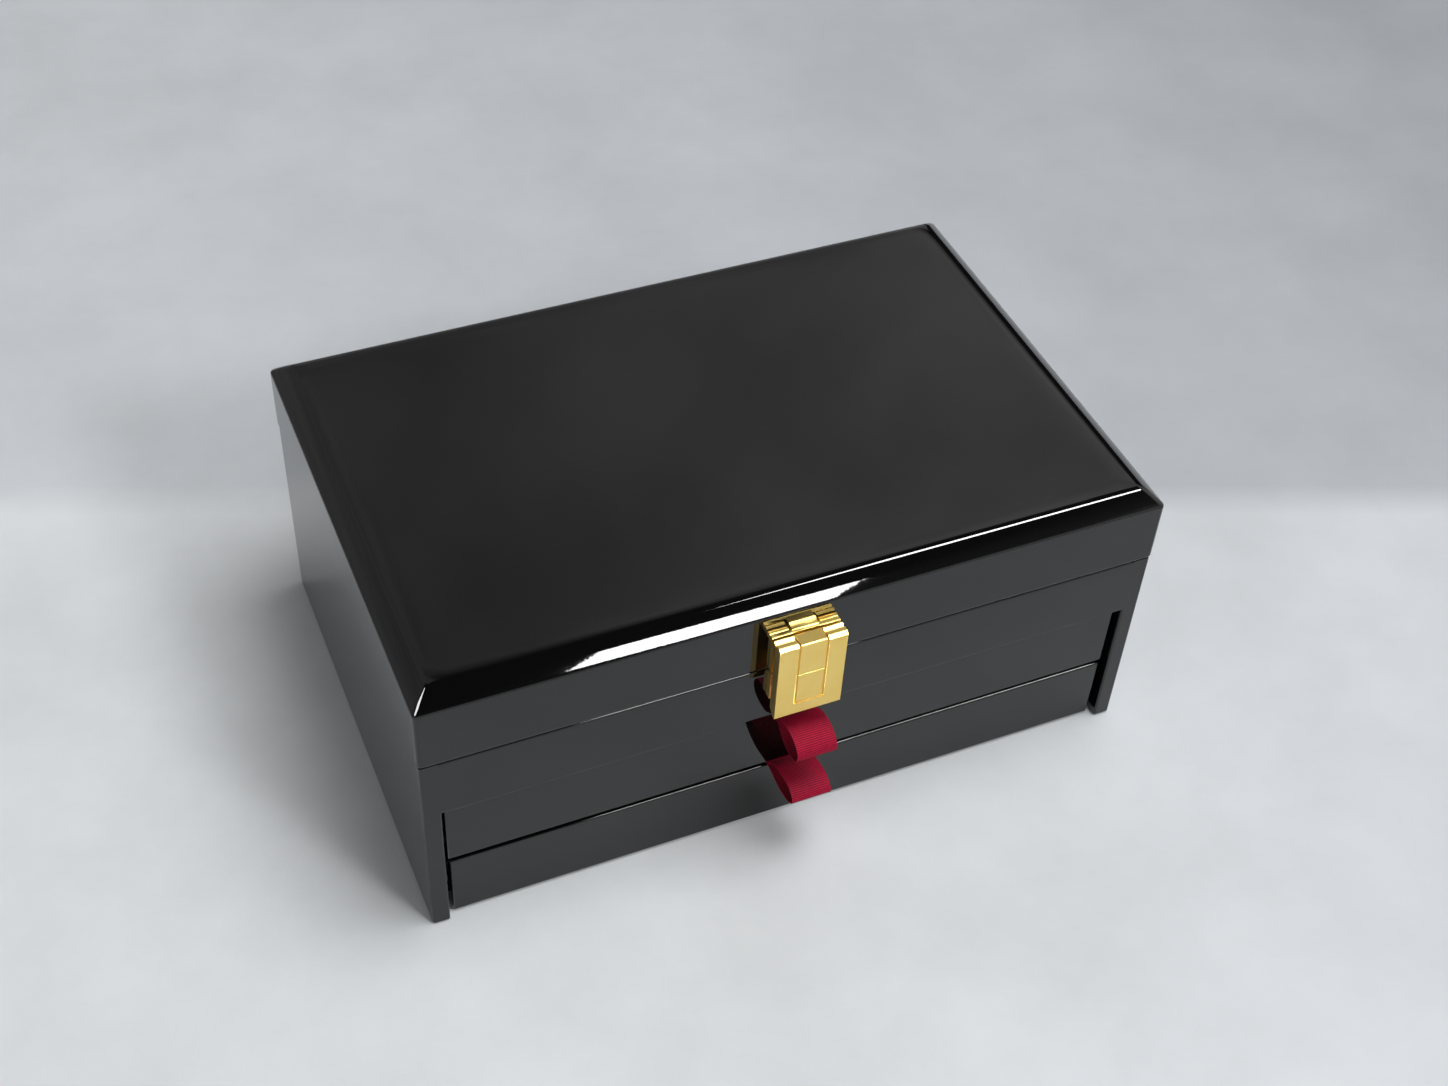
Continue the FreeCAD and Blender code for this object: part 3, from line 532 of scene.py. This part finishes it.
def clasp_front():
    tongue = copy_of("clasp_tongue")
    low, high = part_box("clasp_tongue")
    plate_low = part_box("clasp_face_plate")[0]
    proud = plate_low.y - low.y
    for vert in tongue.verts:
        # The tongue's face comes level with the plate's, with a finer bevel along its top
        if vert.co.y < plate_low.y + 1.2 * MM:
            vert.co.y += proud
            if vert.co.z > high.z - 0.1 * MM:
                vert.co.y = plate_low.y + TONGUE_BEVEL * MM
            elif vert.co.z > high.z - 2 * MM:
                vert.co.z = high.z - TONGUE_BEVEL * MM
    soften(tongue, TONGUE_ARRIS * MM)
    place("clasp_tongue_finish", tongue, GOLD, "clasp_flap", "gold_metal", ["clasp_tongue"])
    sill = plate_low.z + PAD_SILL * MM
    pad = block((low.x, plate_low.y + PAD_SUNK * MM, sill + PAD_GAP * MM),
                (high.x, plate_low.y + PAD_THICK * MM, low.z - PAD_PLAY * MM))
    front_edges = [e for e in pad.edges if all(v.co.y < plate_low.y + 0.1 * MM for v in e.verts)]
    round_off(pad, front_edges, PAD_ARRIS * MM)
    plate = joined_solid(copy_of("clasp_face_plate"), [pad], "UNION")
    soften(plate, FACE_PLATE_ARRIS * MM, turn=55)
    place("clasp_face_plate_finish", plate, GOLD, "clasp_flap", "gold_metal", ["clasp_face_plate"])


# Ring rolls: foam rolls wrapped in velvet, pressed side by side. Sizes in millimetres.

ROLLS = 8
ROLLS_PRESSED = 0.6
ROLL_SLACK = 0.9
ROLL_SHORT = 1.6
ROLL_SIDES = 28
ROLL_CUTS = 26
ROLL_END_RINGS = (1.6, 2.6)
FARTHEST_PUFF = 1.4
CELL_PLAY = 0.35
FOAM_LUMPS = 0.25


def ring_rolls():
    low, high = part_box("ring_rolls")
    pitch = (high.y - low.y + ROLLS_PRESSED * MM) / ROLLS
    start = ROLLS_PRESSED / 2 * MM
    radius = pitch / 2 - ROLL_SLACK * MM
    bm = bmesh.new()
    for index in range(ROLLS):
        middle = Vector(((low.x + high.x) / 2, low.y + (index + 0.5) * pitch - start,
                         low.z + (high.z - low.z) / 2))
        made = bmesh.ops.create_cone(bm, segments=ROLL_SIDES, radius1=radius, radius2=radius,
                                     cap_ends=True, depth=high.x - low.x - ROLL_SHORT * MM,
                                     matrix=Matrix.Translation(middle) @
                                     Matrix.Rotation(math.pi / 2, 4, "Y"))
        caps = list({f for v in made["verts"] for f in v.link_faces if len(f.verts) == ROLL_SIDES})
        for inset in ROLL_END_RINGS:
            bmesh.ops.inset_region(bm, faces=caps, thickness=inset * MM, use_even_offset=True)
    for step in range(1, ROLL_CUTS):
        x = low.x + (high.x - low.x) * step / ROLL_CUTS
        bmesh.ops.bisect_plane(bm, geom=bm.verts[:] + bm.edges[:] + bm.faces[:], dist=1e-7,
                               plane_co=(x, 0, 0), plane_no=(1, 0, 0))
    mesh = bpy.data.meshes.new("ring_rolls_velvet")
    bm.to_mesh(mesh)
    bm.free()
    rolls = bpy.data.objects.new("ring_rolls_velvet", mesh)
    bpy.context.scene.collection.objects.link(rolls)
    inflate(rolls, pressure=3.0, frames=18)
    bm = bmesh.new()
    bm.from_mesh(rolls.data)
    bpy.data.objects.remove(rolls)
    for vert in bm.verts:
        # Each roll stays in its own cell, flat where it meets its neighbours and the floor
        index = min(ROLLS - 1, max(0, int((vert.co.y - low.y + start) / pitch)))
        middle = low.y + (index + 0.5) * pitch - start
        half = pitch / 2 - CELL_PLAY * MM
        # Lumps about 9 mm across, not the same in any two rolls
        ripple = noise.noise(vert.co * 110 + Vector((index * 7.3, 0, 0))) * FOAM_LUMPS * MM
        top = high.z - 0.15 * MM
        vert.co.y = middle + min(max(vert.co.y - middle, -half), half)
        vert.co.z = min(max(vert.co.z + ripple, low.z + 0.05 * MM), top)
        vert.co.x = min(max(vert.co.x, low.x + 0.1 * MM), high.x - 0.1 * MM)
    bmesh.ops.smooth_vert(bm, verts=bm.verts, factor=0.35, use_axis_x=True, use_axis_y=True,
                          use_axis_z=True)
    bmesh.ops.recalc_face_normals(bm, faces=bm.faces)
    made = place("ring_rolls_velvet", bm, VELVET, "carcass", "velvet", ["ring_rolls"], 70, False)
    rounded = made.modifiers.new("rounded", "SUBSURF")
    rounded.levels = 1
    rounded.render_levels = 1


def inflate(pad, pressure, frames):
    # Blows a closed pad up as its filling would, and keeps the shape
    before = [v.co.copy() for v in pad.data.vertices]
    cloth = pad.modifiers.new("filling", "CLOTH")
    cloth.settings.use_pressure = True
    cloth.settings.uniform_pressure_force = pressure
    cloth.settings.effector_weights.gravity = 0
    cloth.settings.quality = 6
    cloth.settings.tension_stiffness = 15
    cloth.settings.compression_stiffness = 15
    cloth.point_cache.frame_end = frames
    for step in range(1, frames + 1):
        bpy.context.scene.frame_set(step)
    depsgraph = bpy.context.evaluated_depsgraph_get()
    blown = pad.evaluated_get(depsgraph).to_mesh()
    moved = [v.co.copy() for v in blown.vertices]
    pad.evaluated_get(depsgraph).to_mesh_clear()
    pad.modifiers.remove(cloth)
    bpy.context.scene.frame_set(1)
    for vert, old, new in zip(pad.data.vertices, before, moved):
        change = new - old
        if change.length > FARTHEST_PUFF * MM:
            change = change.normalized() * FARTHEST_PUFF * MM
        vert.co = old + change


# Ribbon pulls: one strip each, folded double over the drawer front and stapled behind it

RIB_PITCH = 0.85 * MM
STRIP_HALF = 0.2 * MM
RIB_HALF = 0.1 * MM
SELVEDGE = 0.1 * MM
UNEVEN = 0.05 * MM
# Faces along each rib and across the strip, and steps of the curve between two points
RIB_STEPS = 5
ACROSS = 14
CURVE_STEPS = 24

# Each strip from one end to the other, as (distance in front of the lid's face, height) in
# millimetres, with 11 mm of tail at each end
UPPER_TAIL = 52.9
LOWER_TAIL = 21.1
UPPER_STRIP = [
    (-12.25, UPPER_TAIL), (-12.25, 58.0), (-12.2, 62.6), (-11.4, 64.2), (-9.5, 64.28),
    (-4.0, 64.28), (-0.6, 64.35), (1.2, 64.75), (3.2, 66.0), (5.4, 67.2), (8.4, 68.0),
    (11.8, 68.2), (14.8, 67.6), (17.6, 66.2), (19.4, 63.9), (19.7, 61.2), (18.5, 58.9),
    (16.3, 57.7), (13.4, 57.2), (10.2, 57.4), (7.4, 58.5), (4.6, 60.8), (2.2, 62.7),
    (-0.4, 63.65), (-4.0, 63.77), (-9.5, 63.77), (-11.15, 63.7), (-11.72, 62.4),
    (-11.75, 58.0), (-11.75, UPPER_TAIL)]
LOWER_STRIP = [
    (-12.25, LOWER_TAIL), (-12.25, 26.2), (-12.2, 30.8), (-11.4, 32.4), (-9.5, 32.48),
    (-4.4, 32.48), (-2.6, 33.3), (-1.2, 34.8), (0.6, 36.6), (3.2, 38.2), (6.6, 39.2),
    (10.4, 39.75), (14.0, 39.7), (17.0, 38.8), (18.9, 37.1), (19.3, 35.0), (18.0, 33.2),
    (15.2, 31.7), (12.0, 30.8), (8.4, 30.4), (4.8, 30.7), (1.6, 31.4), (-1.6, 31.95),
    (-4.4, 31.97), (-9.5, 31.97), (-11.15, 31.9), (-11.72, 30.6), (-11.75, 26.2),
    (-11.75, LOWER_TAIL)]


def even_path(points, step):
    # A smooth curve through the points, as places an even step apart
    dense = []
    last = len(points) - 1
    for i in range(last):
        a, b, c, d = (points[max(i - 1, 0)], points[i], points[i + 1], points[min(i + 2, last)])
        for k in range(CURVE_STEPS):
            t = k / CURVE_STEPS
            dense.append(0.5 * (2 * b + (c - a) * t + (2 * a - 5 * b + 4 * c - d) * t * t +
                                (3 * b - a - 3 * c + d) * t ** 3))
    dense.append(points[last])
    run = [0.0]
    for a, b in zip(dense, dense[1:]):
        run.append(run[-1] + (b - a).length)
    count = max(2, round(run[-1] / step))
    places = []
    j = 0
    for i in range(count + 1):
        target = run[-1] * i / count
        while j < len(dense) - 2 and run[j + 1] < target:
            j += 1
        span = run[j + 1] - run[j]
        places.append(dense[j].lerp(dense[j + 1], min(max((target - run[j]) / span, 0), 1)))
    return places, run[-1]


def ribbon(name, node, strip, body):
    low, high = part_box(node)
    width = high.x - low.x
    points = [Vector((0, -(LID_Y + forward) * MM, up * MM)) for forward, up in strip]
    path, length = even_path(points, RIB_PITCH / RIB_STEPS)
    bm = bmesh.new()
    rib = bm.verts.layers.float.new("rib")
    row = [bm.verts.new((low.x + width * k / ACROSS, path[0].y, path[0].z))
           for k in range(ACROSS + 1)]
    edges = [bm.edges.new(pair) for pair in zip(row, row[1:])]
    for before, here in zip(path, path[1:]):
        grown = bmesh.ops.extrude_edge_only(bm, edges=edges)["geom"]
        edges = [e for e in grown if isinstance(e, bmesh.types.BMEdge)]
        bmesh.ops.translate(bm, verts=[v for v in grown if isinstance(v, bmesh.types.BMVert)],
                            vec=here - before)
    bm.verts.ensure_lookup_table()
    for index, vert in enumerate(bm.verts):
        phase = (index // (ACROSS + 1)) % RIB_STEPS / RIB_STEPS
        vert[rib] = 0.5 - 0.5 * math.cos(2 * math.pi * phase)
    bmesh.ops.recalc_face_normals(bm, faces=bm.faces)
    bm.normal_update()
    for vert in bm.verts:
        vert.co -= vert.normal * STRIP_HALF
    bmesh.ops.solidify(bm, geom=bm.faces[:], thickness=-2 * STRIP_HALF)
    bm.normal_update()
    for vert in bm.verts:
        edge = min(vert.co.x - low.x, high.x - vert.co.x)
        if edge < SELVEDGE:
            # The selvedge draws in a little between the ribs
            vert.co.x += (SELVEDGE - SELVEDGE * vert[rib]) * (1 if vert.co.x < 0 else -1)
        # Waves about 17 mm long, as a strip never lies quite even
        ease = noise.noise(Vector((vert.co.x * 120, vert.co.y * 60, vert.co.z * 60))) * UNEVEN
        flat = Vector((0, vert.normal.y, vert.normal.z))
        if flat.length > 0.3:
            vert.co += flat.normalized() * (RIB_HALF * (vert[rib] - 0.4) + ease)
    made = place(name, bm, RIBBON, body, "grosgrain", [node], 75, False)
    return made


lid_shell()
carcass_shell()
dress("upper_drawer_front", LACQUER, "black_lacquer", 0.25)
dress("lower_drawer_front", LACQUER, "black_lacquer", 0.25)
for board in ("compartment_floor", "drawer_shelf", "bottom_board", "drawer_guides", "drawer_stops"):
    dress(board, PAINT, "dark_wood", 0.3)
for drawer in ("upper_drawer", "lower_drawer"):
    for board in ("_side_left", "_side_right", "_back", "_bottom"):
        dress(drawer + board, PAINT, "dark_wood", 0.6)
    dress(drawer + "_lining", VELVET, "velvet", 0.4)
    dress(drawer + "_ribbon_staples", NICKEL, "steel", 0.08, 2)
for divider in ("upper_drawer_divider_long", "upper_drawer_dividers_short", "tray_divider_main",
                "tray_divider_cross", "tray_dividers_short"):
    dress(divider, VELVET, "velvet", 1.2, 5)
for lining in ("wall_lining", "floor_lining", "lid_side_lining", "lid_mirror_frame"):
    dress(lining, VELVET, "velvet", 0.35)
dress("lid_lining_board", CARD, "fibreboard", 0.2)
dress("base_felt", FELT, "felt", 0.5)
dress("lid_mirror", MIRROR, "mirror", 0.4)

for fitting in ("hinge_leaf_body_left", "hinge_leaf_body_right", "hinge_leaf_lid_left",
                "hinge_leaf_lid_right", "hinge_pins", "hinge_screws_body", "hinge_screws_lid",
                "clasp_lid_screws", "clasp_body_screws", "clasp_hinge_pin"):
    dress(fitting, GOLD, "gold_metal", 0.12, 2)
dress("clasp_body_plate", GOLD, "gold_metal", 0.2)
dress("clasp_flap_shell", GOLD, "gold_metal", 0.15)
clasp_wedge()
clasp_front()
dress("clasp_magnet", NICKEL, "magnet", 0.15, 2)
dress("clasp_keeper", NICKEL, "steel", 0.1, 2)

ring_rolls()
ribbon("upper_ribbon", "upper_drawer_ribbon_pull", UPPER_STRIP, "upper_drawer")
lower_ribbon = ribbon("lower_ribbon", "lower_drawer_ribbon_pull", LOWER_STRIP, "lower_drawer")
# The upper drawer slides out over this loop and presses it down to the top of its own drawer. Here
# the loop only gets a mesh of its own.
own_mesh(lower_ribbon)


# Floor, light and camera

def floor():
    # A flat ground, wide enough for every view
    bm = bmesh.new()
    bmesh.ops.create_grid(bm, x_segments=1, y_segments=1, size=6)
    mesh = bpy.data.meshes.new("floor")
    bm.to_mesh(mesh)
    bm.free()
    mesh.materials.append(studio_plaster())
    made = bpy.data.objects.new("floor", mesh)
    bpy.context.scene.collection.objects.link(made)


def softbox(name, position, aim, size, energy, turn=0):
    # Places and sizes in metres, energy in watts, turn about the way it faces in degrees
    lamp = bpy.data.lights.new(name, "AREA")
    lamp.shape = "RECTANGLE"
    lamp.size, lamp.size_y = size
    lamp.energy = energy
    made = bpy.data.objects.new(name, lamp)
    made.location = position
    facing = (Vector(aim) - Vector(position)).to_track_quat("-Z", "Y").to_matrix()
    made.rotation_euler = (facing @ Matrix.Rotation(math.radians(turn), 3, "Z")).to_euler()
    bpy.context.scene.collection.objects.link(made)
    return made


# Ways that the room's parts lie in, as seen from the box
TOWARDS_CEILING = (-0.05, -0.20, 0.98)
TOWARDS_DIM_WALL = (-0.50, 0.80, 0.32)
TOWARDS_DOORWAY = (0.724, 0.634, 0.272)


def pale_room():
    # Pale cloudy walls, dimmer at the back left, under a dark ceiling that only the upward
    # faces reflect
    room = bpy.data.worlds.new("pale room")
    room.use_nodes = True
    tree = room.node_tree
    tree.nodes.clear()
    way = add(tree, "TexCoord")
    up = add(tree, "VectorMath", operation="DOT_PRODUCT", Vector=(way, "Generated"),
             Vector_001=TOWARDS_CEILING)
    ceiling = add(tree, "ValToRGB", Fac=(up, "Value"),
                  stops=((0.62, "#fafafa"), (0.69, "#606060"), (0.80, "#121212")))
    aside = add(tree, "VectorMath", operation="DOT_PRODUCT", Vector=(way, "Generated"),
                Vector_001=TOWARDS_DIM_WALL)
    dim = add(tree, "ValToRGB", Fac=(aside, "Value"),
              stops=((0.35, "#ffffff"), (0.50, "#e4e4e4"), (0.60, "#c2c2c2"), (0.70, "#aaaaaa")))
    walls = add(tree, "Mix", data_type="RGBA", blend_type="MULTIPLY", Factor_Float=1.0,
                A_Color=(ceiling, "Color"), B_Color=(dim, "Color"))
    # A dark doorway at the back right, which the right edge of the lid mirrors
    beyond = add(tree, "VectorMath", operation="DOT_PRODUCT", Vector=(way, "Generated"),
                 Vector_001=TOWARDS_DOORWAY)
    doorway = add(tree, "ValToRGB", Fac=(beyond, "Value"),
                  stops=((0.925, "#ffffff"), (0.945, "#202020")))
    room_side = add(tree, "Mix", data_type="RGBA", blend_type="MULTIPLY", Factor_Float=1.0,
                    A_Color=(walls, "Result_Color"), B_Color=(doorway, "Color"))
    patches = add(tree, "TexNoise", Vector=(way, "Generated"), Scale=7.0, Detail=3.0)
    wash = add(tree, "ValToRGB", Fac=(patches, "Fac"), stops=((0.35, "#d0d0d0"), (0.65, "#ffffff")))
    glow = add(tree, "Mix", data_type="RGBA", blend_type="MULTIPLY", Factor_Float=1.0,
               A_Color=(room_side, "Result_Color"), B_Color=(wash, "Color"))
    light = add(tree, "Background", Color=(glow, "Result_Color"), Strength=1.0)
    add(tree, "OutputWorld", Surface=(light, "Background"))
    bpy.context.scene.world = room


def camera():
    # Fitted to the straight edges of the box
    azimuth = math.radians(-25.68)
    elevation = math.radians(44.66)
    roll = math.radians(3.65)
    target = Vector((0.00985, 0.0, 0.05933))
    distance = 0.83775
    back = Vector((math.sin(azimuth) * math.cos(elevation),
                   -math.cos(azimuth) * math.cos(elevation), math.sin(elevation)))
    level = Vector((0, 0, 1)).cross(back).normalized()
    rise = back.cross(level)
    right = level * math.cos(roll) + rise * math.sin(roll)
    up = rise * math.cos(roll) - level * math.sin(roll)
    lens = bpy.data.cameras.new("camera")
    lens.sensor_fit = "HORIZONTAL"
    lens.sensor_width = 36
    lens.lens = 50.05
    made = bpy.data.objects.new("camera", lens)
    made.matrix_world = (Matrix.Translation(target + back * distance) @
                         Matrix((right, up, back)).transposed().to_4x4())
    bpy.context.scene.collection.objects.link(made)
    bpy.context.scene.camera = made


floor()
pale_room()
softbox("front softbox", (0.350, -0.972, 1.024), (0.0, -0.096, 0.123), (0.28, 0.215), 5.3, -25)
# Three more: two that are only mirrored, which draw the lines along the lid's front edge and down
# its left front corner, and one overhead that only lights
strip = softbox("strip softbox", (1.01, -0.55, 1.9), (0.0, -0.1, 0.1), (0.60, 0.75), 50.0)
strip.visible_diffuse = False
beside = softbox("side softbox", (-0.81, -0.17, 1.12), (-0.15, -0.098, 0.125), (0.55, 0.26), 9.0)
beside.visible_diffuse = False
overhead = softbox("overhead softbox", (0.42, -0.25, 2.0), (0.0, -0.05, 0.0), (1.0, 1.0), 25.0)
overhead.visible_glossy = False
camera()
bpy.context.scene.view_settings.view_transform = "Standard"
